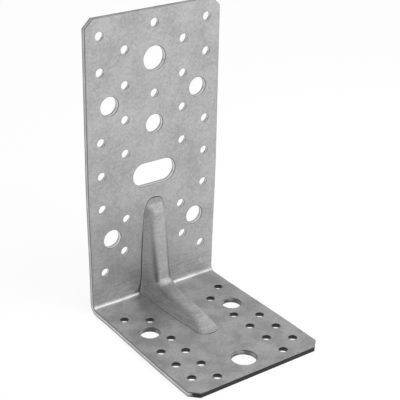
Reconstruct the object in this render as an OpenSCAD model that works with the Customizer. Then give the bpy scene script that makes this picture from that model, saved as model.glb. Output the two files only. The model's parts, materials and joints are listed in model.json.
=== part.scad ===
// Reinforced angle bracket, stamped and folded from one piece of galvanised steel sheet.
// An upright leg and a base are joined by one bend, stiffened by a hollow rib pressed
// forward out of the sheet. Frame: +Z up, X across the width, upright leg at the +Y side.
// The origin is at the middle of the outer box, on the surface that the base rests on.

/* [Sheet] */
// Thickness of the steel sheet
sheet = 3; // [2:0.1:3.5]
// Width of both legs, side edge to side edge
width = 86.5; // [80:0.5:110]
// Height of the upright leg over its outside
leg_height = 174.5; // [168:0.5:220]
// Depth of the base over its outside
base_depth = 103.5; // [98:0.5:150]
// Inside radius of the bend
bend_radius = 3; // [1.5:0.1:5]
// Cut across each of the four free corners, along either edge
corner_cut = 5; // [1:0.5:7]
// How far the pressed rib draws each side edge in at the bend
draw_in = 1.3; // [0:0.1:2]
// Distance from the bend at which a side edge is straight again
draw_reach = 85; // [60:1:90]

/* [Nail holes] */
// Diameter of a nail hole
nail_hole = 5; // [4:0.1:5.5]
// Side edge to the outer nail column, upright leg
leg_outer_margin = 8.9; // [7:0.1:10]
// Centre line to the inner nail column, upright leg
leg_inner_offset = 18.9; // [18.5:0.1:20]
// How much further out the lowest inner pair stands, clear of the rib
leg_low_pair_shift = 2; // [0:0.1:3]
// Top edge to the first row of nail holes
leg_first_row = 10; // [8:0.1:12]
// Step from row to row of nail holes, upright leg
leg_row_step = 10; // [9.5:0.1:10.5]
// Side edge to the outer nail column, base
base_outer_margin = 9.1; // [7:0.1:10]
// Centre line to the inner nail column, base
base_inner_offset = 22.2; // [21:0.1:23]
// Free edge of the base to its first inner nail hole
base_inner_first = 7.7; // [7:0.1:9]
// Free edge of the base to its first outer nail hole
base_outer_first = 14; // [13:0.1:16]
// Step between nail holes of one column, base
base_row_step = 14.5; // [14:0.1:16]
// Back face to the inner nail pair nearest the bend
base_inner_near = 30.4; // [29:0.1:31]
// Back face to the outer nail pair nearest the bend
base_outer_near = 22.1; // [20:0.1:23]

/* [Bolt holes] */
// Diameter of a bolt hole
bolt_hole = 11; // [9:0.1:12]
// Diameter of the two large holes on the centre line
large_hole = 14; // [11:0.1:15]
// Side edge to the bolt holes, upright leg
leg_bolt_margin = 14.4; // [13:0.1:15]
// Side edge to the bolt holes, base
base_bolt_margin = 14.2; // [13:0.1:15]
// Back face to the bolt holes of the base
base_bolt_place = 41.3; // [40:0.1:43]
// Free edge of the base to its large hole
base_large_place = 13.7; // [11:0.1:16]
// Top edge to the upper nail hole of the centre line
centre_first = 8; // [6:0.1:9]
// Step down the centre line from nail hole to large hole to nail hole
centre_step = 20; // [18:0.1:20.5]
// Middle of the slot up to the bolt hole above it
slot_to_bolt = 29.7; // [28:0.1:30]
// Overall length of the slot
slot_length = 28; // [24:0.5:28.5]
// Width of the slot, across its straight sides
slot_width = 14; // [11:0.1:15]
// Top of the rib up to the middle of the slot
slot_over_rib = 14.8; // [12:0.1:16]

/* [Rib] */
// Height of the rib's upper tip above the underside
rib_rise = 64; // [58:0.5:66]
// Reach of the rib's front tip from the back face
rib_reach = 61.5; // [54:0.5:63]
// Half width of the rib's foot at its rounded tips
rib_tip_radius = 6.9; // [6:0.1:7.5]
// Half width of the rib's foot at the bend
rib_root_half = 9.4; // [8:0.1:10]
// How far the rib stands out of the upright leg near its upper tip
rib_leg_low = 5.3; // [4:0.1:6]
// How far the rib stands out of the base near its front tip
rib_base_low = 5.8; // [4:0.1:7]
// How far the two crests stand out of the upright leg where they meet
rib_leg_high = 12.3; // [10:0.1:14]
// How far the two crests stand out of the base where they meet
rib_base_high = 9.6; // [8:0.1:11]
// Half width of the flat along the crest
crest_half = 2.7; // [1:0.1:3]
// Radius along each side of the crest, outside
crest_radius = 3.2; // [2.8:0.1:3.5]
// Thickness of the drawn sheet in the rib
rib_wall = 2.3; // [1.8:0.1:2.4]

/* [Hidden] */
steel = [0.66, 0.67, 0.68];
// Fineness of the round holes and of the bend
$fn = 64;
// How far a cutting shape runs past the face that it cuts
over = 1;
// The bend takes this much of either leg, measured from the outside corner
bend_zone = sheet + bend_radius;
// Rows of the upright leg are counted down from its top edge to this height
row_end_height = 20;
leg_rows = floor((leg_height - leg_first_row - row_end_height) / leg_row_step) + 1;
// Every eighth row, from the fifth on, holds a bolt pair in place of an outer nail pair
bolt_cycle = 8;
bolt_phase = 4;
leg_last_inner = leg_rows - 1 - leg_rows % 2;
slot_height = rib_rise + slot_over_rib;
centre_bolt_height = slot_height + slot_to_bolt;
// Rows of the base are counted in from its free edge, and end short of the bolt pair
base_row_room = base_depth - base_bolt_place - nail_hole;
base_inner_rows = floor((base_row_room - base_inner_first) / base_row_step) + 1;
base_outer_rows = floor((base_row_room - bolt_hole / 2 - base_outer_first) / base_row_step) + 1;
// Step of the points along a drawn side edge
edge_step = 5;
// Fineness of the rib's rounded corners
rib_facets = 32;
// Depth over which the mouth of the rib is cut square into the back of the sheet
back_land = sheet / 5;

// Share of the full draw-in that is left at a distance s from the outside corner
function drawn_share(s) =
    s <= bend_zone ? 1 :
    s >= draw_reach ? 0 :
    (1 + cos(180 * (s - bend_zone) / (draw_reach - bend_zone))) / 2;

// Where a point lies across the width, once the rib has drawn the sheet in
function drawn(x, s) = x - sign(x) * draw_in * drawn_share(s);

// Points up one side edge, from the bend to the corner cut
function edge_points(side, length) = concat(
    [for (s = [bend_zone : edge_step : draw_reach]) [drawn(side * width / 2, s), s]],
    [[side * width / 2, length - corner_cut], [side * (width / 2 - corner_cut), length]]
);

// Outline of one leg laid flat, x across and y away from the outside corner
module leg_outline(length) {
    right = edge_points(1, length);
    left = edge_points(-1, length);
    polygon(concat(right, [for (i = [len(left) - 1 : -1 : 0]) left[i]]));
}

// A flat leg of the upright, standing on the bend with its back face on y = 0
module upright_plate() {
    rotate([90, 0, 0]) linear_extrude(sheet) leg_outline(leg_height);
}

// The flat base, lying on z = 0 in front of the bend
module base_plate() {
    mirror([0, 1, 0]) linear_extrude(sheet) leg_outline(base_depth);
}

// Quarter round between the legs
module bend() {
    bend_width = 2 * drawn(width / 2, 0);
    translate([-bend_width / 2, -bend_zone, bend_zone])
        rotate([90, 0, 90])
            linear_extrude(bend_width) difference() {
                intersection() {
                    circle(bend_zone);
                    translate([0, -bend_zone]) square(bend_zone);
                }
                circle(bend_radius);
            }
}

// Foot of one rib arm, laid flat: round at its tip and wide at the outside corner
module rib_foot(reach, inset) {
    root = rib_root_half - inset;
    translate([0, reach - rib_tip_radius]) circle(rib_tip_radius - inset, $fn = rib_facets);
    translate([-root, inset > 0 ? -over : sheet / 2]) square([2 * root, over]);
}

// Half of the rib that runs along one leg. x is across, y away from the outside corner
// and z out of the leg from its outer face. The crest drops from high, at the distance
// corner from the outer face of the other leg, to low near the rounded tip. An inset
// above 0 draws the form inwards and lets it run out of the back of the sheet.
module rib_arm(reach, low, high, corner, inset) {
    bottom = inset > 0 ? -over : sheet / 2;
    top = inset > 0 ? back_land : sheet;
    low_end = reach - rib_tip_radius - crest_radius / 2;
    hull() {
        for (side = [-1, 1]) {
            translate([side * crest_half, low_end, sheet + low - crest_radius])
                sphere(crest_radius - inset, $fn = rib_facets);
            translate([side * crest_half, corner - crest_radius, sheet + high - crest_radius])
                sphere(crest_radius - inset, $fn = rib_facets);
        }
        translate([0, 0, bottom]) linear_extrude(top - bottom) rib_foot(reach, inset);
    }
}

// The whole rib as a solid, drawn inwards by inset
module rib_form(inset) {
    rotate([90, 0, 0])
        rib_arm(rib_rise, rib_leg_low, rib_leg_high, sheet + rib_base_high, inset);
    mirror([0, 1, 0])
        rib_arm(rib_reach, rib_base_low, rib_base_high, sheet + rib_leg_high, inset);
}

// Round hole through the upright, x from the centre line and z above the underside
module upright_hole(x, z, diameter) {
    translate([x, over, z]) rotate([90, 0, 0])
        cylinder(h = sheet + 2 * over, d = diameter);
}

// Round hole through the base, x from the centre line and y from the back face
module base_hole(x, y, diameter) {
    translate([x, -y, -over]) cylinder(h = sheet + 2 * over, d = diameter);
}

// A pair of holes of the upright, one on each side
module upright_pair(x, z, diameter) {
    for (side = [-1, 1]) upright_hole(drawn(side * x, z), z, diameter);
}

// A pair of holes of the base, one on each side
module base_pair(x, y, diameter) {
    for (side = [-1, 1]) base_hole(drawn(side * x, y), y, diameter);
}

// Zigzag of nail holes and bolt holes down both sides of the upright
module upright_rows() {
    for (row = [0 : leg_rows - 1]) {
        z = leg_height - leg_first_row - row * leg_row_step;
        if (row % 2 == 1) {
            beside_slot = abs(z - slot_height) < slot_width / 2 + nail_hole;
            shift = row == leg_last_inner ? leg_low_pair_shift : 0;
            if (!beside_slot) upright_pair(leg_inner_offset + shift, z, nail_hole);
        } else if (row % bolt_cycle == bolt_phase) {
            upright_pair(width / 2 - leg_bolt_margin, z, bolt_hole);
        } else {
            upright_pair(width / 2 - leg_outer_margin, z, nail_hole);
        }
    }
}

// Holes on the centre line of the upright, and the slot
module upright_centre() {
    first = leg_height - centre_first;
    upright_hole(0, first, nail_hole);
    upright_hole(0, first - centre_step, large_hole);
    upright_hole(0, first - 2 * centre_step, nail_hole);
    upright_hole(0, centre_bolt_height, bolt_hole);
    half = slot_length / 2 - slot_width / 2;
    for (side = [-1, 1]) upright_hole(side * half, slot_height, slot_width);
    translate([-half, -sheet - over, slot_height - slot_width / 2])
        cube([2 * half, sheet + 2 * over, slot_width]);
}

// Holes of the base
module base_holes() {
    inner = base_inner_offset;
    outer = width / 2 - base_outer_margin;
    for (row = [0 : base_inner_rows - 1])
        base_pair(inner, base_depth - base_inner_first - row * base_row_step, nail_hole);
    for (row = [0 : base_outer_rows - 1])
        base_pair(outer, base_depth - base_outer_first - row * base_row_step, nail_hole);
    base_pair(inner, base_inner_near, nail_hole);
    base_pair(outer, base_outer_near, nail_hole);
    base_pair(width / 2 - base_bolt_margin, base_bolt_place, bolt_hole);
    base_hole(0, base_depth - base_large_place, large_hole);
}

// The bracket, with its outside corner moved to the back of the frame
module bracket() {
    color(steel) translate([0, base_depth / 2, 0]) difference() {
        union() {
            upright_plate();
            base_plate();
            bend();
            rib_form(0);
        }
        rib_form(rib_wall);
        upright_rows();
        upright_centre();
        base_holes();
    }
}

bracket();
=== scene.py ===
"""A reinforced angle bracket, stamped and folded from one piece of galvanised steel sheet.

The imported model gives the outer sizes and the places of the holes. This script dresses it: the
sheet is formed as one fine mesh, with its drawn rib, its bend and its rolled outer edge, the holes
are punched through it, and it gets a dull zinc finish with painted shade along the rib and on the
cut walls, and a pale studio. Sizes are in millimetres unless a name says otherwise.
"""

import json
import logging
import math
from dataclasses import dataclass
from enum import Enum
from typing import Any

import bmesh
import bpy
import numpy as np
from mathutils import Euler, Matrix, Vector


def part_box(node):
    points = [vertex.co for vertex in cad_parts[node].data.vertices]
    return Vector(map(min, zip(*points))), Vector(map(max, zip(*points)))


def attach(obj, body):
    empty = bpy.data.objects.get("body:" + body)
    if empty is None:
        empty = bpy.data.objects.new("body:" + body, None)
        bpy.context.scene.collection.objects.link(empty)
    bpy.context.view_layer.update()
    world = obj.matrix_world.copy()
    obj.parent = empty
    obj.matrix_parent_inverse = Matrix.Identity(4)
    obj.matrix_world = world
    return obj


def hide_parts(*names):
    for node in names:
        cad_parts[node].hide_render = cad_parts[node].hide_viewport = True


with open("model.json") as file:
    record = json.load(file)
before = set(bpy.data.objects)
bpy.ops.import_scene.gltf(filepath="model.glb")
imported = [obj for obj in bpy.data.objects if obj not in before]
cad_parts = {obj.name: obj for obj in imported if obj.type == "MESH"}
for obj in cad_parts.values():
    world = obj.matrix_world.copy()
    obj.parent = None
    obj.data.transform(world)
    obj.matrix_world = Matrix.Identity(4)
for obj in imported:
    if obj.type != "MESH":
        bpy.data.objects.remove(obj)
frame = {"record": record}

Array = np.ndarray
Point = tuple[Array, Array, Array]
log = logging.getLogger("bracket")

MILLIMETRE = 0.001
NODE = "bracket"
BODY = "root"
TURN = "turn"
OFF_WALL = -1.0

# How far a punch stands from its axis at each depth. Each step is a name, an operation and its
# terms, which are numbers, inputs of the tree, X, Y and Z of the plain punch, or earlier steps.
PUNCH_PROFILE = (
    ("down", "SUBTRACT", 0.5, "Z"),
    ("down square", "MULTIPLY", "down", "down"),
    ("span", "MULTIPLY_ADD", "Clear", 2.0, "Thickness"),
    ("fallen", "MULTIPLY", "down square", "span"),
    ("depth", "SUBTRACT", "fallen", "Clear"),
    ("to roll end", "SUBTRACT", "Edge Roll", "depth"),
    ("in roll", "MAXIMUM", "to roll end", 0.0),
    ("in roll square", "MULTIPLY", "in roll", "in roll"),
    ("roll square", "MULTIPLY", "Edge Roll", "Edge Roll"),
    ("difference", "SUBTRACT", "roll square", "in roll square"),
    ("inner square", "MAXIMUM", "difference", 0.0),
    ("inner", "SQRT", "inner square"),
    ("rolled", "SUBTRACT", "Edge Roll", "inner"),
    ("smooth end", "MULTIPLY", "Thickness", "Smooth Share"),
    ("below smooth", "SUBTRACT", "depth", "smooth end"),
    ("past", "MAXIMUM", "below smooth", 0.0),
    ("torn height", "SUBTRACT", "Thickness", "smooth end"),
    ("torn share", "DIVIDE", "past", "torn height"),
    ("broken", "MULTIPLY", "torn share", "Flare"),
    ("widening", "ADD", "rolled", "broken"),
    ("radius", "ADD", "Hole Radius", "widening"),
    ("round X", "MULTIPLY", "X", "radius"),
    ("side", "SIGN", "X"),
    ("shift", "MULTIPLY", "side", "Slot Half Length"),
    ("moved X", "ADD", "round X", "shift"),
    ("moved Y", "MULTIPLY", "Y", "radius"),
    ("moved Z", "MULTIPLY", "depth", -1.0),
)


class Leg(Enum):
    """The two legs of the angle, by the way their holes are punched."""

    UPRIGHT = "upright"
    BASE = "base"


class Mark(str, Enum):
    """Values stored on the sheet's mesh for the finish: depth on the cut walls, their darkening, partly bare
    steel and partly painted shade, and the painted shade at the rib's foot and below its ridges.
    """

    CUT = "cut_depth"
    BARE_AND_SHADE = "bare_steel_and_shade"
    CREASE = "crease_shade_mm"
    STRETCH = "rib_shade"


def round_union(first: Array, second: Array, radius: Array | float) -> Array:
    """Joins two solids that are given by their distance, with a fillet between them.

    Args:
        first: Distance from the first solid, positive outside.
        second: Distance from the second solid, positive outside.
        radius: Radius of the fillet where the two meet square.

    Returns:
        Distance from the joined solid.
    """
    u = np.maximum(radius - first, 0.0)
    v = np.maximum(radius - second, 0.0)
    return np.maximum(radius, np.minimum(first, second)) - np.hypot(u, v)


def round_cut(first: Array, second: Array, radius: Array | float) -> Array:
    """Keeps what two solids share, with the ridge between their faces rounded."""
    return -round_union(-first, -second, radius)


def soft_union(first: Array, second: Array, reach: float) -> Array:
    """Joins two solids whose faces meet at a flat angle, with a soft run within a reach."""
    share = np.maximum(reach - np.abs(first - second), 0.0) / reach
    return np.minimum(first, second) - share * share * reach / 4


def smooth_step(value: Array) -> Array:
    """Eases a share from 0 to 1, level at both ends."""
    share = np.clip(value, 0.0, 1.0)
    return share * share * (3.0 - 2.0 * share)


def direction(azimuth_deg: float, elevation_deg: float) -> Vector:
    """Way from the object to a place round it, counted clockwise from behind the upright."""
    turn, rise = math.radians(azimuth_deg), math.radians(elevation_deg)
    return Vector((math.sin(turn) * math.cos(rise), math.cos(turn) * math.cos(rise), math.sin(rise)))


def linear(colour: str) -> tuple[float, float, float, float]:
    """Turns a colour into linear light.

    Args:
        colour: sRGB hex colour, such as "#A0A4A8".

    Returns:
        Red, green, blue and full alpha.
    """
    parts = [int(colour[i:i + 2], 16) / 255 for i in (1, 3, 5)]
    light = [c / 12.92 if c <= 0.04045 else ((c + 0.055) / 1.055) ** 2.4 for c in parts]
    return light[0], light[1], light[2], 1.0


def add_node(tree: Any, kind: str, inputs: dict[Any, Any] | None = None, output: int | str = 0,
             **settings: Any) -> Any:
    """Adds one node to a tree of any sort.

    Args:
        tree: Node tree that gets the node.
        kind: Blender's name of the node type.
        inputs: For an input's name or number, a socket to link it to or a value to set.
        output: Name or number of the output that is wanted.
        settings: Values of the node's own properties.

    Returns:
        Socket of that output, or None where a node has no outputs.
    """
    node = tree.nodes.new(kind)
    for name, value in settings.items():
        setattr(node, name, value)
    for key, value in (inputs or {}).items():
        if isinstance(value, bpy.types.NodeSocket):
            tree.links.new(value, node.inputs[key])
        else:
            node.inputs[key].default_value = value
    return node.outputs[output] if len(node.outputs) else None


def empty_tree(owner: Any) -> Any:
    """Gives a material or a world an empty node tree.

    Args:
        owner: The material or world.

    Returns:
        Its tree.
    """
    owner.use_nodes = True
    owner.node_tree.nodes.clear()
    return owner.node_tree


def add_object(name: str, data: Any) -> bpy.types.Object:
    """Adds an object to the scene.

    Args:
        name: Its name.
        data: Its mesh, lamp or camera.

    Returns:
        The object.
    """
    made = bpy.data.objects.new(name, data)
    bpy.context.scene.collection.objects.link(made)
    return made


def bake(piece: bpy.types.Object) -> None:
    """Turns a piece's modifiers into plain mesh.

    Args:
        piece: The object, which keeps no modifier.
    """
    bpy.context.view_layer.update()
    graph = bpy.context.evaluated_depsgraph_get()
    made = bpy.data.meshes.new_from_object(piece.evaluated_get(graph), depsgraph=graph)
    piece.modifiers.clear()
    piece.data = made


@dataclass(frozen=True)
class RibArm:
    """One arm of the pressed rib, standing on one leg of the sheet.

    Distances along the arm are measured from the outside corner of the bracket, and distances
    out of it from the inner face of its leg. Steep flanks rise from an outline with a round tip,
    and a sloping crest closes them. At the tip a gentle apron and a steeper riser lead up to it.
    """

    reach: float
    low: float
    high: float
    crease: float
    apron_deg: float
    riser_deg: float
    riser_back: float
    riser_foot_round: float
    nose_round: float
    tip_radius: float = 6.9
    root_half: float = 9.3
    flank_deg: float = 66.0
    crest_round: float = 3.8
    tip_round: float = 0.5
    # The rib_shade and nose_shade fields set a painted shade: a dark band just below the ridge, and a
    # darkening of the nose that dims its highlight.
    rib_shade_share: float = 1.0
    rib_shade_reach: float = 62.0
    rib_shade_fade: float = 1.3
    rib_shade_start: float = 4.0
    rib_shade_lead: float = 1.6
    rib_shade_drop: float = 1.0
    rib_shade_width: float = 1.7
    nose_shade_share: float = 0.28
    nose_shade_length: float = 14.0
    nose_shade_run: float = 6.0

    def foot(self, x: Array, along: Array) -> Array:
        """Distance from the arm's outline on its leg.

        Args:
            x: Places across the width, from the middle.
            along: Places along the arm.

        Returns:
            The distances, positive outside.
        """
        centre = self.reach - self.tip_radius
        share = np.clip(along / centre, 0.0, 1.0)
        half = self.tip_radius + (self.root_half - self.tip_radius) * (1.0 - share ** 2)
        return np.hypot(x, np.maximum(along - centre, 0.0)) - half

    def parts(self, x: Array, along: Array, out: Array) -> tuple[Array, Array, Array]:
        """Distances of points from the flanks and from the cap, and the rounding between them.

        Args:
            x: Places across the width, from the middle.
            along: Places along the arm.
            out: Places out of the leg.

        Returns:
            Distance from the flanks, distance from the crest with its nose, and ridge radius.
        """
        flank, apron, riser = (
            math.radians(angle) for angle in (self.flank_deg, self.apron_deg, self.riser_deg))
        side = self.foot(x, along) * math.sin(flank) + out * math.cos(flank)
        riser_at = self.reach - self.riser_back
        low_end = riser_at - self.low / math.tan(riser)
        fall = (self.high - self.low) / (low_end - self.crease)
        crest = (out - self.low - (low_end - along) * fall) / math.hypot(1.0, fall)
        gentle = (along - self.reach) * math.sin(apron) + out * math.cos(apron)
        steep = (along - riser_at) * math.sin(riser) + out * math.cos(riser)
        ramp = soft_union(gentle, steep, self.riser_foot_round)
        inward = smooth_step((self.reach - along) / (self.reach - low_end + self.nose_round / 2))
        ridge = self.tip_round + (self.crest_round - self.tip_round) * inward
        return side, round_cut(crest, ramp, self.nose_round), ridge

    def rib_shade(self, x: Array, along: Array, out: Array) -> Array:
        """How much painted shade lies on the arm: most just below the ridge, as a dark band, and less on the
        nose, where it dims the highlight.

        Args:
            x: Places across the width, from the middle.
            along: Places along the arm.
            out: Places out of the leg.

        Returns:
            Shares from 0 to 1.
        """
        side, cap, _ = self.parts(x, along, out)
        band = np.exp(-((side - cap - self.rib_shade_drop) / self.rib_shade_width) ** 2)
        past = along - self.crease
        start = smooth_step((past + self.rib_shade_lead) / self.rib_shade_start)
        fade = np.clip(1.0 - past / self.rib_shade_reach, 0.0, 1.0) ** self.rib_shade_fade
        nose = smooth_step((along - self.reach + self.nose_shade_length) / self.nose_shade_run)
        return np.maximum(band * start * fade * self.rib_shade_share, nose * self.nose_shade_share)


@dataclass(frozen=True)
class EdgeRoll:
    """The edge that a punch or shear leaves: rolled over in front, smooth, then broken away."""

    roll: float = 0.45
    smooth_share: float = 0.42
    break_slope: float = 0.12
    back_round: float = 0.12
    arc_steps: int = 4

    def rings(self, thickness: float) -> list[tuple[float, float]]:
        """Places the rings of the outer edge, from the front face to the back.

        Args:
            thickness: Thickness of the sheet.

        Returns:
            Inset and depth of each ring.
        """
        turns = [math.pi / 2 * k / self.arc_steps for k in range(self.arc_steps + 1)]
        front = [(self.roll * (1 - math.sin(a)), self.roll * (1 - math.cos(a))) for a in turns]
        broken = (self.break_slope, thickness - self.back_round)
        return front + [(0.0, thickness * self.smooth_share), broken]


@dataclass
class FormedSheet:
    """The folded sheet with its pressed rib, before the holes are punched.

    A point is given by x across the width, a in front of the upright's inner face and b above
    the base's. Points of the inner face are named by x and by a run along the middle: the run is
    minus the distance from the outside corner on the base, plus it on the upright, and between
    the two it passes through the bend.
    """

    width: float
    depth: float
    height: float
    thickness: float = 3.0
    bend_radius: float = 3.0
    corner_cut: float = 5.0
    draw_in: float = 1.3
    draw_reach: float = 85.0
    drawn_wall: float = 2.3
    foot_round: float = 0.5
    corner_foot_round: float = 2.6
    corner_foot_reach: float = 9.0
    crease_round: float = 3.5
    flank_reach: float = 5.0
    # These fields set the width of a painted shade line along the rib's foot, finer towards the upper tip
    # and on the base, and a painted shade pocket beside the rib just above the bend.
    fine_line_start: float = 35.0
    fine_line_run: float = 18.0
    fine_line_gain: float = 2.0
    base_line_gain: float = 2.2
    arm_blend: float = 3.0
    pocket_shade_reach: float = 16.0
    pocket_shade_edge: float = 1.5
    pocket_shade_gain: float = 0.93
    rib_zone: float = 13.0
    column_step: float = 0.45
    row_step: float = 0.6
    fine_past: float = 2.0
    coarse_step: float = 6.0
    bend_steps: int = 16
    fan_reach: float = 22.0
    fan_share: float = 0.98
    halvings: int = 36
    slope_nudge: float = 0.002
    even_edge: float = 2.0
    even_rounds: int = 80
    edge: EdgeRoll = EdgeRoll()

    def __post_init__(self) -> None:
        """Works out what follows from the sizes."""
        self.zone = self.thickness + self.bend_radius
        self.upright_arm = RibArm(
            reach=64.0, low=5.0, high=11.2, crease=12.6, apron_deg=9.0, riser_deg=52.0,
            riser_back=4.2, riser_foot_round=0.8, nose_round=1.8)
        self.base_arm = RibArm(
            reach=61.5, low=5.4, high=9.6, crease=15.3, apron_deg=14.0, riser_deg=38.0,
            riser_back=3.2, riser_foot_round=2.0, nose_round=5.0, rib_shade_share=0.5,
            nose_shade_share=0.0, rib_shade_reach=70.0, rib_shade_lead=4.0)

    def corner(self, inset: float) -> float:
        """Length of a corner cut when the outline is drawn inwards by inset."""
        return self.corner_cut - inset * (2.0 - math.sqrt(2.0))

    def rows(self, inset: float) -> Array:
        """Runs of the mesh's rows, from the free edge of the base to the top edge.

        Args:
            inset: How far the outline is drawn inwards.

        Returns:
            One run for each row.
        """
        halves = []
        for length, arm in ((self.depth, self.base_arm), (self.height, self.upright_arm)):
            fine_end = arm.reach + self.fine_past
            last = length - self.corner_cut
            fine = np.linspace(self.zone, fine_end, round((fine_end - self.zone) / self.row_step) + 1)
            coarse = np.linspace(fine_end, last, math.ceil((last - fine_end) / self.coarse_step) + 1)
            ends = [length - inset - self.corner(inset), length - inset]
            halves.append(np.concatenate([fine, coarse[1:-1], ends]))
        bend = np.linspace(-self.zone, self.zone, self.bend_steps + 1)
        return np.concatenate([-halves[0][::-1], bend[1:-1], halves[1]])

    def half_width(self, run: Array, inset: float) -> Array:
        """Half the width of the blank, which is drawn in at the bend and cut at its corners.

        Args:
            run: Runs of the rows.
            inset: How far the outline is drawn inwards.

        Returns:
            One half width for each row.
        """
        away = np.abs(run)
        length = np.where(run < 0, self.depth, self.height)
        turn = np.clip((away - self.zone) / (self.draw_reach - self.zone), 0.0, 1.0)
        side = self.width / 2 - inset - self.draw_in * (1 + np.cos(np.pi * turn)) / 2
        past = np.maximum(away - (length - inset - self.corner(inset)), 0.0)
        return np.where(past > 0, self.width / 2 - inset - past, side)

    def grid(self, inset: float) -> tuple[Array, Array]:
        """Places of the mesh's points on the inner face, fine over the rib and coarse beside it.

        Args:
            inset: How far the outline is drawn inwards.

        Returns:
            x and run of every point, each as rows by columns.
        """
        run = self.rows(inset)
        half = self.half_width(run, inset)
        steps = round(2 * self.rib_zone / self.column_step)
        middle = np.linspace(-self.rib_zone, self.rib_zone, steps + 1)
        shares = np.linspace(0.0, 1.0, round((self.width / 2 - self.rib_zone) / self.coarse_step) + 1)
        outer = self.rib_zone + (half[:, None] - self.rib_zone) * shares[None, 1:]
        x = np.concatenate([-outer[:, ::-1], np.tile(middle, (len(run), 1)), outer], axis=1)
        return x, np.repeat(run[:, None], x.shape[1], axis=1)

    def raised(self, a: Array, b: Array) -> Array:
        """Distance from the inner face of the plain folded sheet, positive in the open room."""
        return round_union(a, b, self.bend_radius)

    def rib(self, at: Point) -> Array:
        """Distance from the rib alone: the flanks and crests of its two arms, joined.

        Args:
            at: x, a and b of the points.

        Returns:
            The distances, positive outside.
        """
        x, a, b = at
        side, cap, ridge = self.upright_arm.parts(x, b + self.thickness, a)
        base_side, base_cap, base_ridge = self.base_arm.parts(x, a + self.thickness, b)
        flanks = soft_union(side, base_side, self.flank_reach)
        crests = round_union(cap, base_cap, self.crease_round)
        return round_cut(flanks, crests, np.minimum(ridge, base_ridge))

    def distance(self, at: Point) -> Array:
        """Distance from the inner face of the formed sheet, whose foot is rounder near the bend.

        Args:
            at: x, a and b of the points.

        Returns:
            The distances, positive in the open room of the angle.
        """
        _, a, b = at
        near = np.exp(-((np.maximum(a, 0) + np.maximum(b, 0)) / self.corner_foot_reach) ** 2)
        foot = self.foot_round + (self.corner_foot_round - self.foot_round) * near
        return round_union(self.raised(a, b), self.rib(at), foot)

    def crease(self, at: Point) -> Array:
        """Distance from the line where the rib rises out of the sheet, which guides a painted shade line.

        It is counted up on the base and towards the upper tip, where the painted line is finer. Just
        above the bend it is counted down, as the painted shade widens into a dark pocket beside the rib.

        Args:
            at: x, a and b of the points.

        Returns:
            The distances, positive on the rib.
        """
        _, a, b = at
        to_tip = (b - self.fine_line_start) / self.fine_line_run
        on_base = smooth_step((a - b) / self.arm_blend)
        fineness = 1.0 + self.fine_line_gain * smooth_step(to_tip) + self.base_line_gain * on_base
        rise = self.raised(a, b) - self.rib(at)
        # The pocket widens the painted shade line beside the rib, just above the bend.
        pocket = smooth_step(1.0 - b / self.pocket_shade_reach) * smooth_step((b - a) / self.pocket_shade_edge)
        return rise * fineness * np.where(rise < 0, 1.0 - self.pocket_shade_gain * pocket, 1.0)

    def rib_shade(self, at: Point) -> Array:
        """How much painted shade lies below the ridges of the rib and on its noses.

        Args:
            at: x, a and b of the points.

        Returns:
            Shares from 0 to 1.
        """
        x, a, b = at
        upright = self.upright_arm.rib_shade(x, b + self.thickness, a)
        base = self.base_arm.rib_shade(x, a + self.thickness, b)
        on_upright = smooth_step((b - a) / self.arm_blend + 0.5)
        return (base + (upright - base) * on_upright) * (self.crease(at) > 0)

    def slope(self, at: Point) -> Array:
        """How fast the distance from the inner face grows.

        Args:
            at: x, a and b of the points.

        Returns:
            The slopes, with the last axis along x, a and b.
        """
        changes = []
        for step in self.slope_nudge * np.eye(3):
            ahead = self.distance(tuple(value + part for value, part in zip(at, step)))
            behind = self.distance(tuple(value - part for value, part in zip(at, step)))
            changes.append(ahead - behind)
        return np.stack(changes, axis=-1) / (2 * self.slope_nudge)

    def face(self, x: Array, run: Array) -> tuple[Array, Array]:
        """Finds the inner face by walking from the plain folded sheet out to the rib's skin.

        Args:
            x: Places across the width.
            run: Runs of the points.

        Returns:
            x, a and b of each point, as one array, and the outward normals there.
        """
        theta = (np.clip(run, -self.zone, self.zone) + self.zone) / (2 * self.zone) * np.pi / 2
        radius = self.bend_radius
        a = np.where(run < -self.zone, -run - self.thickness, radius * (1 - np.sin(theta)))
        b = np.where(run > self.zone, run - self.thickness, radius * (1 - np.cos(theta)))
        step_a = np.maximum(self.fan_reach - a, 0.0)
        step_b = np.maximum(self.fan_reach - b, 0.0)
        length = np.hypot(step_a, step_b)
        step_a, step_b = step_a / length, step_b / length
        low, high = np.zeros_like(a), np.minimum(length, self.fan_reach) * self.fan_share
        for _ in range(self.halvings):
            middle = (low + high) / 2
            inside = self.distance((x, a + middle * step_a, b + middle * step_b)) < 0
            low, high = np.where(inside, middle, low), np.where(inside, high, middle)
        lift = np.where(np.abs(x) < self.rib_zone, (low + high) / 2, 0.0)
        a, b = a + lift * step_a, b + lift * step_b
        slope = self.slope((x, a, b))
        normal = slope / np.linalg.norm(slope, axis=-1, keepdims=True)
        return np.stack([x, a, b], axis=-1), normal

    def wall(self, drawn: Array) -> Array:
        """Thickness of the sheet, by the share from 0 to 1 to which it was drawn."""
        return self.thickness + (self.drawn_wall - self.thickness) * smooth_step(drawn)

    def below(self, x: Array, run: Array, depth: float) -> Array:
        """Points at a depth below the inner face.

        Args:
            x: Places across the width.
            run: Runs of the points.
            depth: Depth in plain sheet. In the rib it shrinks with the drawn wall.

        Returns:
            The points, with the last axis x, a and b.
        """
        point, normal = self.face(x, run)
        wall = self.wall(self.raised(point[..., 1], point[..., 2]) / self.thickness)
        return point - normal * (depth * wall / self.thickness)[..., None]

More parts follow.
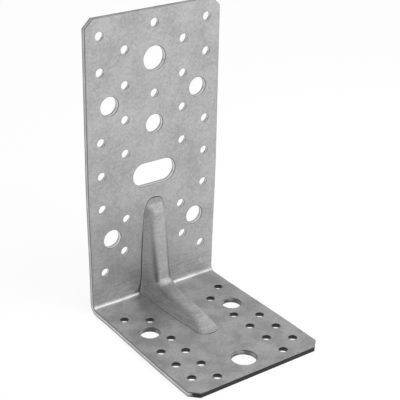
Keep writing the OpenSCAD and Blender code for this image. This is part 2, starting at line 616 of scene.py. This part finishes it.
    def back(self, x: Array, run: Array) -> Array:
        """Points of the back, spread evenly over the mouth and the walls of the rib's hollow.

        Args:
            x: Places across the width, as rows by columns.
            run: Runs of the points.

        Returns:
            The points, with the last axis x, a and b.
        """
        point = self.below(x, run, self.thickness)
        reach = np.where(run < 0, self.base_arm.reach, self.upright_arm.reach)
        free = smooth_step((self.rib_zone - np.abs(x)) / self.even_edge)
        free = (free * smooth_step((reach - np.abs(run)) / self.even_edge))[..., None]
        for _ in range(self.even_rounds):
            across = point[1:-1, :-2] + point[1:-1, 2:]
            middle = (across + point[:-2, 1:-1] + point[2:, 1:-1]) / 4
            point[1:-1, 1:-1] += (middle - point[1:-1, 1:-1]) * free[1:-1, 1:-1]
            place = point[..., 0], point[..., 1], point[..., 2]
            wall = self.wall((self.raised(place[1], place[2]) / self.thickness + 1.0) / 2.0)
            slope = self.slope(place)
            steep = np.sum(slope * slope, axis=-1)
            point -= slope * ((self.distance(place) + wall) / steep)[..., None] * free
        return point

    def placed(self, point: Array) -> Array:
        """Moves points from x, a and b to the shared frame, as rows of x, y and z."""
        corner = np.array([0.0, self.depth / 2 - self.thickness, self.thickness])
        return (corner + point * (1.0, -1.0, 1.0)).reshape(-1, 3)

    def mesh(self) -> bpy.types.Mesh:
        """Builds the closed mesh of the blank: both faces and the rings of the outer edge.

        Returns:
            The mesh, in millimetres, with its faces outwards.
        """
        x, run = self.grid(self.edge.roll)
        rows, columns = x.shape
        number = np.arange(rows * columns).reshape(rows, columns)
        rim = np.concatenate([number[0], number[1:, -1], number[-1, -2::-1], number[-2:0:-1, 0]])
        points = [self.placed(self.below(x, run, 0.0))]
        loops = [rim]
        for inset, depth in self.edge.rings(self.thickness)[1:]:
            ring_x, ring_run = self.grid(inset)
            loops.append(sum(map(len, points)) + np.arange(len(rim)))
            points.append(self.placed(self.below(ring_x.ravel()[rim], ring_run.ravel()[rim], depth)))
        back_x, back_run = self.grid(self.edge.break_slope + self.edge.back_round)
        back_start = sum(map(len, points))
        points.append(self.placed(self.back(back_x, back_run)))
        loops.append(rim + back_start)
        corner = number[:-1, :-1].ravel()
        front_faces = np.stack([corner, corner + 1, corner + columns + 1, corner + columns], axis=1)
        faces = [front_faces, front_faces[:, ::-1] + back_start]
        for upper, lower in zip(loops, loops[1:]):
            faces.append(np.stack([upper, lower, np.roll(lower, -1), np.roll(upper, -1)], axis=1))
        mesh = bpy.data.meshes.new(NODE + "_sheet")
        mesh.from_pydata(np.concatenate(points).tolist(), [], np.concatenate(faces).tolist())
        shape = bmesh.new()
        shape.from_mesh(mesh)
        bmesh.ops.recalc_face_normals(shape, faces=shape.faces)
        shape.to_mesh(mesh)
        shape.free()
        return mesh


@dataclass(frozen=True)
class HoleSize:
    """One size of hole, and the edge that its punch leaves.

    A thin punch rolls the face over less than a thick one, and flares the hole more at the back.
    """

    radius: float
    slot_half: float = 0.0
    segments: int = 48
    roll: float = 0.45
    flare: float = 0.12


@dataclass
class Perforation:
    """The punched holes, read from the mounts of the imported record."""

    sheet: FormedSheet
    slot_length: float = 28.0
    slot_width: float = 14.0
    large_segments: int = 64
    punch_rings: int = 14
    clear: float = 0.05
    thin_punch: float = 3.0
    thin_roll: float = 0.15
    thin_flare: float = 0.75

    def places(self, record: dict[str, Any]) -> dict[HoleSize, list[tuple[Leg, Vector]]]:
        """Gathers the holes by size.

        Args:
            record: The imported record.

        Returns:
            For each size of hole, the leg and the middle of each hole, in the shared frame.
        """
        found: dict[HoleSize, list[tuple[Leg, Vector]]] = {}
        slot_half = (self.slot_length - self.slot_width) / 2
        for mount in record["mounts"]:
            dims = mount["dims"]
            if mount["kind"] == "bolt_pattern" and dims["hole_r_mm"] < self.thin_punch:
                size = HoleSize(dims["hole_r_mm"], roll=self.thin_roll, flare=self.thin_flare)
            elif mount["kind"] == "bolt_pattern":
                size = HoleSize(dims["hole_r_mm"])
            elif mount["kind"] == "bore":
                size = HoleSize(dims["r_mm"], segments=self.large_segments)
            elif mount["kind"] == "other":
                size = HoleSize(self.slot_width / 2, slot_half, self.large_segments)
            else:
                continue
            leg = Leg.UPRIGHT if mount["axis"][1] else Leg.BASE
            along = Vector((0, 0, 1)) if leg is Leg.UPRIGHT else Vector((0, 1, 0))
            middle = Vector(mount["pos_m"]) / MILLIMETRE
            for x in self.spread(dims.get("spacing_x_mm")):
                for y in self.spread(dims.get("spacing_y_mm")):
                    found.setdefault(size, []).append((leg, middle + Vector((x, 0, 0)) + along * y))
        return found

    @staticmethod
    def spread(spacing: float | None) -> list[float]:
        """Offsets of a pair of holes about its middle, or of a single hole."""
        return [0.0] if spacing is None else [-spacing / 2, spacing / 2]

    def marks(self, name: str, holes: list[tuple[Leg, Vector]]) -> bpy.types.Object:
        """Makes a cloud of points on the inner faces, each turned the way its hole is punched.

        Args:
            name: Name of the cloud.
            holes: Leg and middle of each hole.

        Returns:
            An object with one loose point for each hole.
        """
        front = self.sheet.depth / 2 - self.sheet.thickness
        points, turns = [], []
        for leg, middle in holes:
            if leg is Leg.UPRIGHT:
                points.append((middle.x, front, middle.z))
                turns += [math.pi / 2, 0.0, 0.0]
            else:
                points.append((middle.x, middle.y, self.sheet.thickness))
                turns += [0.0, 0.0, 0.0]
        mesh = bpy.data.meshes.new(name)
        mesh.from_pydata(points, [], [])
        mesh.attributes.new(TURN, "FLOAT_VECTOR", "POINT").data.foreach_set("vector", turns)
        return add_object(name, mesh)

    def tree(self) -> bpy.types.NodeTree:
        """Builds the tree that punches one size of hole at every marked place.

        The punch is a cylinder whose rings follow the edge that a real punch leaves: wide where
        the face rolls over, straight, and a little wider again where the sheet breaks away.

        Returns:
            The tree, with named inputs for its sizes.
        """
        tree = bpy.data.node_groups.new("punch_holes", "GeometryNodeTree")
        sockets = (("Sheet", "Geometry"), ("Places", "Object"), ("Hole Radius", "Float"),
                   ("Slot Half Length", "Float"), ("Edge Roll", "Float"), ("Thickness", "Float"),
                   ("Smooth Share", "Float"), ("Flare", "Float"), ("Clear", "Float"),
                   ("Sides", "Int"), ("Finish", "Material"))
        for name, kind in sockets:
            tree.interface.new_socket(name, in_out="INPUT", socket_type="NodeSocket" + kind)
        tree.interface.new_socket("Sheet", in_out="OUTPUT", socket_type="NodeSocketGeometry")
        given = add_node(tree, "NodeGroupInput").node.outputs
        position = add_node(tree, "GeometryNodeInputPosition")
        corner = add_node(tree, "ShaderNodeSeparateXYZ", {0: position}).node.outputs
        value = {socket.name: socket for socket in (*given, *corner) if socket.name}
        for name, operation, *terms in PUNCH_PROFILE:
            value[name] = add_node(tree, "ShaderNodeMath", {
                number: value.get(term, term) for number, term in enumerate(terms)}, operation=operation)
        moved = add_node(tree, "ShaderNodeCombineXYZ", {axis: value["moved " + axis] for axis in "XYZ"})
        blank = add_node(tree, "GeometryNodeMeshCylinder", {
            "Vertices": given["Sides"], "Side Segments": self.punch_rings, "Radius": 1.0,
            "Depth": 1.0}, fill_type="NGON")
        punch = add_node(tree, "GeometryNodeSetPosition", {"Geometry": blank, "Position": moved})
        cloud = add_node(tree, "GeometryNodeObjectInfo", {"Object": given["Places"]}, "Geometry")
        turn = add_node(tree, "GeometryNodeInputNamedAttribute", {"Name": TURN}, data_type="FLOAT_VECTOR")
        rotation = add_node(tree, "FunctionNodeEulerToRotation", {0: turn})
        punches = add_node(tree, "GeometryNodeInstanceOnPoints", {
            "Points": cloud, "Instance": punch, "Rotation": rotation})
        cut = add_node(tree, "GeometryNodeMeshBoolean", {
            "Mesh 1": given["Sheet"], "Mesh 2": punches}, operation="DIFFERENCE", solver="MANIFOLD")
        real = add_node(tree, "GeometryNodeRealizeInstances", {"Geometry": cut})
        dressed = add_node(tree, "GeometryNodeSetMaterial", {"Geometry": real, "Material": given["Finish"]})
        add_node(tree, "NodeGroupOutput", {"Sheet": dressed})
        return tree

    def punch(self, blank: bpy.types.Object, record: dict[str, Any], finish: bpy.types.Material) -> None:
        """Punches every hole into the blank and leaves it a plain mesh.

        Args:
            blank: Object of the formed sheet, in millimetres.
            record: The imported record.
            finish: Material that the tree sets.
        """
        tree = self.tree()
        inputs = [item for item in tree.interface.items_tree if item.in_out == "INPUT"]
        clouds = []
        for size, holes in self.places(record).items():
            cloud = self.marks(f"places_{size.radius:g}_{size.slot_half:g}", holes)
            clouds.append(cloud)
            values = {
                "Places": cloud, "Hole Radius": size.radius, "Slot Half Length": size.slot_half,
                "Edge Roll": size.roll, "Thickness": self.sheet.thickness,
                "Smooth Share": self.sheet.edge.smooth_share, "Flare": size.flare,
                "Clear": self.clear, "Sides": size.segments, "Finish": finish}
            step = blank.modifiers.new(cloud.name, "NODES")
            step.node_group = tree
            for item in inputs:
                if item.name in values:
                    step[item.identifier] = values[item.name]
            log.info("punch %g mm: %d holes", 2 * size.radius, len(holes))
        bake(blank)
        for cloud in clouds:
            bpy.data.objects.remove(cloud)


@dataclass
class Bracket:
    """The whole bracket: the formed sheet, its holes and its finish."""

    record: dict[str, Any]
    sharp_deg: float = 34.0
    face_weight: int = 100
    far: float = 9.0
    wall_step: float = 0.004
    end_band: float = 1.0
    # How dark the torn part of each cut wall is made: partly bare steel, partly painted shade.
    bare_side: float = 0.4
    bare_low_side: float = 0.35
    bare_top: float = 0.5
    front_edge_shade: float = 1.5
    hole_margin: float = 0.1
    small_hole_darkening: float = 1.6
    large_hole_darkening: float = 0.76
    upright_hole_shade_share: float = 0.15

    def __post_init__(self) -> None:
        """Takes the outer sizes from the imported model."""
        low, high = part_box(NODE)
        size = (high - low) / MILLIMETRE
        self.sheet = FormedSheet(width=size.x, depth=size.y, height=size.z)
        self.holes = Perforation(self.sheet)

    def build(self, finish: bpy.types.Material) -> bpy.types.Object:
        """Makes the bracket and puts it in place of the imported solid.

        Args:
            finish: Material of the zinc coating.

        Returns:
            The finished piece.
        """
        piece = add_object("pressed_bracket", self.sheet.mesh())
        self.holes.punch(piece, self.record, finish)
        self.mark(piece.data)
        piece.data.transform(Matrix.Scale(MILLIMETRE, 4))
        self.smooth(piece)
        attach(piece, BODY)
        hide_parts(NODE)
        return piece

    def mark(self, mesh: bpy.types.Mesh) -> None:
        """Stores on the mesh the depth on cut walls, their darkening, partly bare steel and partly painted
        shade, and the painted shade of the rib.

        Args:
            mesh: Mesh of the punched sheet, in millimetres.
        """
        flat = np.zeros(len(mesh.vertices) * 3)
        mesh.vertices.foreach_get("co", flat)
        x, y, z = flat.reshape(-1, 3).T
        sheet = self.sheet
        at = x, sheet.depth / 2 - sheet.thickness - y, z - sheet.thickness
        depth = np.clip(-sheet.distance(at) / sheet.thickness, 0.0, 1.0)
        in_rib = (np.abs(x) < sheet.rib_zone) & (np.maximum(at[1], at[2]) < sheet.upright_arm.reach)
        depth = np.where(in_rib, np.round(depth), depth)
        in_front = depth < 0.5
        # Distance from the rib's foot, which guides the painted crease shade line.
        self.store(mesh, Mark.CREASE, np.where(in_front, sheet.crease(at), -self.far))
        # Painted shade below the rib's ridges and on its noses.
        self.store(mesh, Mark.STRETCH, np.where(in_front, sheet.rib_shade(at), 0.0))
        corner = np.zeros(len(mesh.loops), dtype=np.int32)
        mesh.loops.foreach_get("vertex_index", corner)
        first = np.zeros(len(mesh.polygons), dtype=np.int32)
        mesh.polygons.foreach_get("loop_start", first)
        level = depth[corner]
        spread = np.maximum.reduceat(level, first) - np.minimum.reduceat(level, first)
        wall = np.repeat(spread > self.wall_step, np.diff(np.append(first, len(corner))))
        self.store(mesh, Mark.CUT, np.where(wall, level, OFF_WALL))
        # Darkening of the cut walls, partly bare steel and partly painted shade.
        self.store(mesh, Mark.BARE_AND_SHADE, self.bare_steel_and_shade(x, y, z)[corner] * wall)

    def bare_steel_and_shade(self, x: Array, y: Array, z: Array) -> Array:
        """How dark the torn part of a cut wall is made at each place.

        Partly it is bare steel: the sides of the blank are mill edges that kept their zinc, the ends and
        the holes were cut after the dipping, and a small punch tears more of the coating than a large
        one. Partly it is painted shade: deepest on the front edge of the base, which stands on the floor,
        and in the base's holes, while the upright's holes get only a small share.

        Args:
            x: Places across the width.
            y: Places towards the back.
            z: Heights.

        Returns:
            Shares, where 1 or more is wholly dark.
        """
        half_depth, height = self.sheet.depth / 2, self.sheet.height
        bare = np.where(z < self.sheet.zone, self.bare_low_side, self.bare_side)
        bare = np.where(z > height - self.end_band, self.bare_top, bare)
        # Painted shade on the front edge of the base, where it stands on the floor.
        bare = np.where(y < self.end_band - half_depth, self.front_edge_shade, bare)
        for size, holes in self.holes.places(self.record).items():
            for leg, middle in holes:
                across = z - middle.z if leg is Leg.UPRIGHT else y - middle.y
                away = np.hypot(np.maximum(np.abs(x - middle.x) - size.slot_half, 0.0), across)
                level = self.small_hole_darkening if size.radius < self.holes.thin_punch else self.large_hole_darkening
                # The upright's holes are darkened less, as the darkening is partly painted shade.
                if leg is Leg.UPRIGHT:
                    level *= self.upright_hole_shade_share
                edge = size.radius + max(size.roll, size.flare) + self.hole_margin
                bare = np.where(away < edge, level, bare)
        return bare

    @staticmethod
    def store(mesh: bpy.types.Mesh, mark: Mark, values: Array) -> None:
        """Stores one value for each vertex, or for each corner of a face."""
        domain = "POINT" if len(values) == len(mesh.vertices) else "CORNER"
        mesh.attributes.new(mark.value, "FLOAT", domain).data.foreach_set("value", values)

    def smooth(self, piece: bpy.types.Object) -> None:
        """Shades the faces smooth, apart from real edges, led by the widest faces.

        Args:
            piece: The bracket.
        """
        piece.data.shade_smooth()
        piece.data.set_sharp_from_angle(angle=math.radians(self.sharp_deg))
        weighted = piece.modifiers.new("weighted", "WEIGHTED_NORMAL")
        weighted.mode = "FACE_AREA"
        weighted.weight = self.face_weight
        weighted.keep_sharp = True
        bake(piece)


@dataclass(frozen=True)
class Pattern:
    """One noise in the zinc, by the size of its patches."""

    name: str
    size_mm: float
    detail: float = 2.0


@dataclass(frozen=True)
class Ease:
    """One mask: level up to low and from high of what it follows, with a smooth run between."""

    name: str
    follows: str
    low: float
    high: float
    start: float = 0.0
    end: float = 1.0


@dataclass(frozen=True)
class GalvanisedZinc:
    """Hot-dip galvanised sheet: a dull grey zinc skin over steel, dipped before it is stamped.

    The skin scatters its reflections widely, with a fine mottle, soft clouds and a few dark
    specks. Its real grain is too fine to show, so it is drawn coarser. Stamping leaves faint level
    lines above the bend, and cut walls that are smooth near the face and torn towards the back.
    Painted shade lays a dark line where the rib rises, widening into a pocket beside the rib above
    the bend, and a dark band below the rib's ridges and on its noses. The cut walls are bright in
    their burnished band, partly burnish and partly painted light, and dark towards the back, partly
    bare steel and partly painted shade.
    """

    name: str = "hot_dip_galvanised_zinc"
    light: str = "#B0B0B0"
    dark: str = "#989898"
    speck: str = "#6E6E6E"
    # Painted shade: the dark band below the rib's ridges and on its noses.
    drawn: str = "#4C4C4C"
    # Painted shade in the crease along the rib's foot.
    crease: str = "#343434"
    # Dark colour of the torn cut walls: partly bare steel, partly painted shade.
    steel: str = "#2C2C2C"
    # Colours down the cut walls, from the face to the back. The bright band is partly burnish and partly
    # painted light, lighter than bare metal so that walls shaded by the holes look lit.
    cut_stops: tuple[tuple[float, str], ...] = (
        (0.0, "#7C7C7C"), (0.1, "#747474"), (0.2, "#F0F0F0"), (0.42, "#EAEAEA"), (0.55, "#C8C8C8"),
        (0.88, "#B4B4B4"), (1.0, "#6A6A6A"))
    metallic: float = 0.72
    rib_roughness: float = 0.6
    cut_roughness: float = 0.3
    cloud_share: float = 0.4
    rib_shade_share: float = 0.95
    speck_mm: float = 1.9
    line_mm: float = 9.0
    line_height_mm: float = 1.1
    grain_depth_mm: float = 0.012
    patterns: tuple[Pattern, ...] = (
        Pattern("mottle", 1.3, 3.0),
        Pattern("clouds", 14.0),
        Pattern("speck groups", 3.23, 1.0),
        Pattern("grain", 0.35),
        Pattern("patches", 6.0),
    )
    eases: tuple[Ease, ...] = (
        Ease("tone", "skin", 0.3, 0.7),
        Ease("roughness", "mottle", 0.3, 0.7, 0.38, 0.46),
        Ease("line", "level lines", 0.4, 0.65),
        Ease("near bend", "height in m", 0.007, 0.03, 0.3, 0.0),
        Ease("speck group", "speck groups", 0.52, 0.62),
        Ease("speck dot", "speck centres", 0.08, 0.3, 0.35, 0.0),
        # A painted shade line along the crease at the rib's foot.
        Ease("crease shade line", "off crease", 0.1, 0.6, 0.92, 0.0),
        Ease("on rib", Mark.CREASE, 0.0, 1.5),
        Ease("burnished start", Mark.CUT, 0.12, 0.2),
        Ease("burnished end", Mark.CUT, 0.42, 0.5, 1.0, 0.0),
        Ease("torn", Mark.CUT, 0.03, 0.15),
        Ease("patchy", "patches", 0.35, 0.65, 0.8, 1.2),
    )

    def build(self) -> bpy.types.Material:
        """Builds the material.

        Returns:
            The material.
        """
        material = bpy.data.materials.new(self.name)
        tree = empty_tree(material)
        value = self.sources(tree)
        self.masks(tree, value)
        roughness = value["roughness"]
        for mask, level in (("on rib", self.rib_roughness), ("burnished", self.cut_roughness)):
            roughness = add_node(tree, "ShaderNodeMix", {
                "Factor": value[mask], 2: roughness, 3: level}, data_type="FLOAT")
        bump = add_node(tree, "ShaderNodeBump", {
            "Height": value["grain"], "Strength": 1.0, "Distance": self.grain_depth_mm * MILLIMETRE})
        shader = add_node(tree, "ShaderNodeBsdfPrincipled", {
            "Base Color": self.colour(tree, value), "Metallic": self.metallic,
            "Roughness": roughness, "Normal": bump})
        add_node(tree, "ShaderNodeOutputMaterial", {"Surface": shader})
        return material

    def sources(self, tree: Any) -> dict[str, Any]:
        """Adds what the finish follows: the patterns, the height and the marks of the making.

        Args:
            tree: Tree of the material.

        Returns:
            Socket of each by its name.
        """
        place = add_node(tree, "ShaderNodeTexCoord", output="Object")
        flat = 1.0 / (self.line_mm * MILLIMETRE)
        level = add_node(tree, "ShaderNodeMapping", {
            "Vector": place, "Scale": (flat, flat, 1.0 / (self.line_height_mm * MILLIMETRE))})
        value = {
            "height in m": add_node(tree, "ShaderNodeSeparateXYZ", {0: place}, "Z"),
            "level lines": add_node(tree, "ShaderNodeTexNoise", {
                "Vector": level, "Scale": 1.0, "Detail": 2.0}, "Fac"),
            "speck centres": add_node(tree, "ShaderNodeTexVoronoi", {
                "Vector": place, "Scale": 1.0 / (self.speck_mm * MILLIMETRE)}, "Distance")}
        for pattern in self.patterns:
            value[pattern.name] = add_node(tree, "ShaderNodeTexNoise", {
                "Vector": place, "Scale": 1.0 / (pattern.size_mm * MILLIMETRE),
                "Detail": pattern.detail}, "Fac")
        for mark in Mark:
            value[mark] = add_node(tree, "ShaderNodeAttribute", output="Fac", attribute_name=mark.value)
        return value

    def masks(self, tree: Any, value: dict[str, Any]) -> None:
        """Works out the masks of the finish.

        Args:
            tree: Tree of the material.
            value: Sockets of what the masks follow, to which their own are added.
        """
        value["skin"] = add_node(tree, "ShaderNodeMix", {
            "Factor": self.cloud_share, 2: value["mottle"], 3: value["clouds"]}, data_type="FLOAT")
        value["off crease"] = add_node(tree, "ShaderNodeMath", {0: value[Mark.CREASE]}, operation="ABSOLUTE")
        value["wall"] = add_node(tree, "ShaderNodeMath", {
            0: value[Mark.CUT], 1: OFF_WALL / 2}, operation="GREATER_THAN")
        for ease in self.eases:
            value[ease.name] = add_node(tree, "ShaderNodeMapRange", {
                "Value": value[ease.follows], 1: ease.low, 2: ease.high, 3: ease.start,
                4: ease.end}, interpolation_type="SMOOTHSTEP")
        for name, first, second in (
                ("lines", "line", "near bend"),
                ("specks", "speck dot", "speck group"),
                # The drawn mask is painted shade below the rib's ridges and on its noses.
                ("drawn", Mark.STRETCH, self.rib_shade_share),
                ("burnished", "burnished start", "burnished end"),
                # Torn steel and bare darken the cut walls: partly bare steel, partly painted shade.
                ("torn steel and shade", Mark.BARE_AND_SHADE, "torn"),
                ("bare", "torn steel and shade", "patchy")):
            value[name] = add_node(tree, "ShaderNodeMath", {
                0: value[first], 1: value.get(second, second)}, operation="MULTIPLY")

    def colour(self, tree: Any, value: dict[str, Any]) -> Any:
        """Lays the colours over each other, from the plain skin to the dark cut walls, with painted shade
        among them.

        Args:
            tree: Tree of the material.
            value: Sockets of the masks.

        Returns:
            Socket of the colour.
        """
        sheared = add_node(tree, "ShaderNodeValToRGB", {"Fac": value[Mark.CUT]}, "Color")
        stops = sheared.node.color_ramp.elements
        for number, (at, tone) in enumerate(self.cut_stops):
            stop = stops[number] if number < len(stops) else stops.new(at)
            stop.position = at
            stop.color = linear(tone)
        colour: Any = linear(self.dark)
        # Layers: drawn paints shade below the rib's ridges and on its noses, the crease shade line paints
        # shade at the rib's foot, the wall colours paint light in their burnished band, and bare darkens the
        # torn walls, partly as bare steel and partly as painted shade.
        for mask, above in (
                ("tone", linear(self.light)), ("lines", linear(self.speck)),
                ("specks", linear(self.speck)), ("drawn", linear(self.drawn)),
                ("crease shade line", linear(self.crease)), ("wall", sheared), ("bare", linear(self.steel))):
            colour = add_node(tree, "ShaderNodeMix", {
                "Factor": value[mask], 6: colour, 7: above}, 2, data_type="RGBA")
        return colour


@dataclass(frozen=True)
class Camera:
    """The camera, at the photograph's viewing angle."""

    place: tuple[float, float, float] = (-323.54, -437.39, 346.35)
    azimuth_deg: float = 36.447
    elevation_deg: float = 24.867
    roll_deg: float = 1.265
    focal_px: float = 1138.2
    centre_px: tuple[float, float] = (205.0, 178.0)
    image_px: float = 400.0
    sensor_mm: float = 36.0
    clip_start_m: float = 0.01
    clip_end_m: float = 20.0

    def build(self) -> None:
        """Makes the camera and has the scene use it."""
        data = bpy.data.cameras.new("camera")
        data.sensor_width = self.sensor_mm
        data.lens = self.focal_px / self.image_px * self.sensor_mm
        data.shift_x = (self.image_px / 2 - self.centre_px[0]) / self.image_px
        data.shift_y = (self.centre_px[1] - self.image_px / 2) / self.image_px
        data.clip_start = self.clip_start_m
        data.clip_end = self.clip_end_m
        camera = add_object("camera", data)
        place = Matrix.Translation(Vector(self.place) * MILLIMETRE)
        turn = Euler((math.radians(90 - self.elevation_deg), 0, -math.radians(self.azimuth_deg)))
        roll = Matrix.Rotation(math.radians(self.roll_deg), 4, "Z")
        camera.matrix_world = place @ turn.to_matrix().to_4x4() @ roll
        bpy.context.scene.camera = camera


@dataclass(frozen=True)
class SkyGlow:
    """One soft patch of light on the walls or the ceiling of the studio."""

    name: str
    azimuth_deg: float
    elevation_deg: float
    strength: float
    tightness: float = 10.0

    def build(self, tree: Any, way: Any) -> Any:
        """Adds the patch to the world's tree.

        Args:
            tree: Tree of the world.
            way: Socket of the direction that is looked in, of length 1.

        Returns:
            Socket of the light that this patch gives there.
        """
        middle = direction(self.azimuth_deg, self.elevation_deg)
        near = add_node(tree, "ShaderNodeVectorMath", {0: way, 1: middle}, "Value",
                        operation="DOT_PRODUCT", label=self.name)
        fall = add_node(tree, "ShaderNodeMath", {
            0: near, 1: self.tightness, 2: -self.tightness}, operation="MULTIPLY_ADD")
        glow = add_node(tree, "ShaderNodeMath", {0: fall}, operation="EXPONENT")
        return add_node(tree, "ShaderNodeMath", {0: glow, 1: self.strength}, operation="MULTIPLY")


@dataclass(frozen=True)
class SoftBox:
    """A soft lamp near the object, by the way it stands as seen from there."""

    name: str
    azimuth_deg: float
    elevation_deg: float
    size_m: float
    watts: float
    distance_m: float = 0.5

    def build(self, aim: Vector) -> None:
        """Hangs the lamp and turns it to the object.

        Args:
            aim: Middle of the object, in metres.
        """
        way = direction(self.azimuth_deg, self.elevation_deg)
        data = bpy.data.lights.new(self.name, "AREA")
        data.shape = "SQUARE"
        data.size = self.size_m
        data.energy = self.watts
        lamp = add_object(self.name, data)
        lamp.location = aim + way * self.distance_m
        lamp.rotation_euler = (-way).to_track_quat("-Z", "Y").to_euler()


@dataclass
class Studio:
    """A wide white floor under a room with soft patches of light, and one lamp near the object."""

    floor_size_m: float = 12.0
    floor_drop_m: float = 0.0002
    floor_colour: str = "#FFFFFF"
    floor_glow: float = 0.88
    light_colour: str = "#FFFFFF"
    room_level: float = 0.03
    key: SoftBox = SoftBox("key", 138.0, 48.0, 0.3, 1.8)
    glows: tuple[SkyGlow, ...] = (
        SkyGlow("low_window_in_front", 180.0, 5.0, 2.3),
        SkyGlow("low_window_front_right", 135.0, 5.0, 0.7),
        SkyGlow("wall_in_front", 195.0, 30.0, 1.5),
        SkyGlow("low_window_right", 90.0, 5.0, 3.2),
        SkyGlow("wall_behind_right", 45.0, 33.0, 0.68),
        SkyGlow("low_wall_left", 270.0, 5.0, 1.2),
        SkyGlow("wall_behind_left", 315.0, 33.0, 1.2),
        SkyGlow("ceiling_behind", 0.0, 60.0, 0.9),
    )

    def build(self) -> None:
        """Sets the view, lays the floor and lights the scene."""
        bpy.context.scene.view_settings.view_transform = "Standard"
        self.floor()
        self.world()
        low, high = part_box(NODE)
        self.key.build((low + high) / 2)

    def floor(self) -> None:
        """Lays the floor, white to the camera and to reflections, with the object's soft shadow."""
        half, level = self.floor_size_m / 2, -self.floor_drop_m
        mesh = bpy.data.meshes.new("floor")
        corners = [(-half, -half, level), (half, -half, level), (half, half, level), (-half, half, level)]
        mesh.from_pydata(corners, [], [(0, 1, 2, 3)])
        add_object("floor", mesh)
        material = bpy.data.materials.new("pale_floor")
        tree = empty_tree(material)
        rays = add_node(tree, "ShaderNodeLightPath").node.outputs
        seen = rays["Is Camera Ray"]
        for ray in ("Is Glossy Ray", "Is Transmission Ray"):
            seen = add_node(tree, "ShaderNodeMath", {0: seen, 1: rays[ray]}, operation="MAXIMUM")
        share = add_node(tree, "ShaderNodeMath", {0: seen, 1: self.floor_glow}, operation="MULTIPLY")
        paint = add_node(tree, "ShaderNodeBsdfDiffuse", {"Color": linear(self.floor_colour)})
        glow = add_node(tree, "ShaderNodeEmission", {"Color": linear(self.light_colour)})
        mix = add_node(tree, "ShaderNodeMixShader", {0: share, 1: paint, 2: glow})
        add_node(tree, "ShaderNodeOutputMaterial", {"Surface": mix})
        mesh.materials.append(material)

    def world(self) -> None:
        """Fills the room with its patches of light."""
        world = bpy.data.worlds.new("studio")
        bpy.context.scene.world = world
        tree = empty_tree(world)
        way = add_node(tree, "ShaderNodeVectorMath", {
            0: add_node(tree, "ShaderNodeTexCoord", output="Generated")}, operation="NORMALIZE")
        light: Any = self.room_level
        for glow in self.glows:
            light = add_node(tree, "ShaderNodeMath", {0: glow.build(tree, way), 1: light}, operation="ADD")
        back = add_node(tree, "ShaderNodeBackground", {
            "Color": linear(self.light_colour), "Strength": light})
        add_node(tree, "ShaderNodeOutputWorld", {"Surface": back})


def main() -> None:
    """Builds the bracket, its studio and the camera, and logs how many faces the bracket has."""
    logging.basicConfig(level=logging.INFO, format="%(name)s: %(message)s")
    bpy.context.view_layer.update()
    finish = GalvanisedZinc().build()
    piece = Bracket(frame["record"]).build(finish)
    log.info("%s: %d faces", piece.name, len(piece.data.polygons))
    Studio().build()
    Camera().build()


if __name__ == "__main__":
    main()
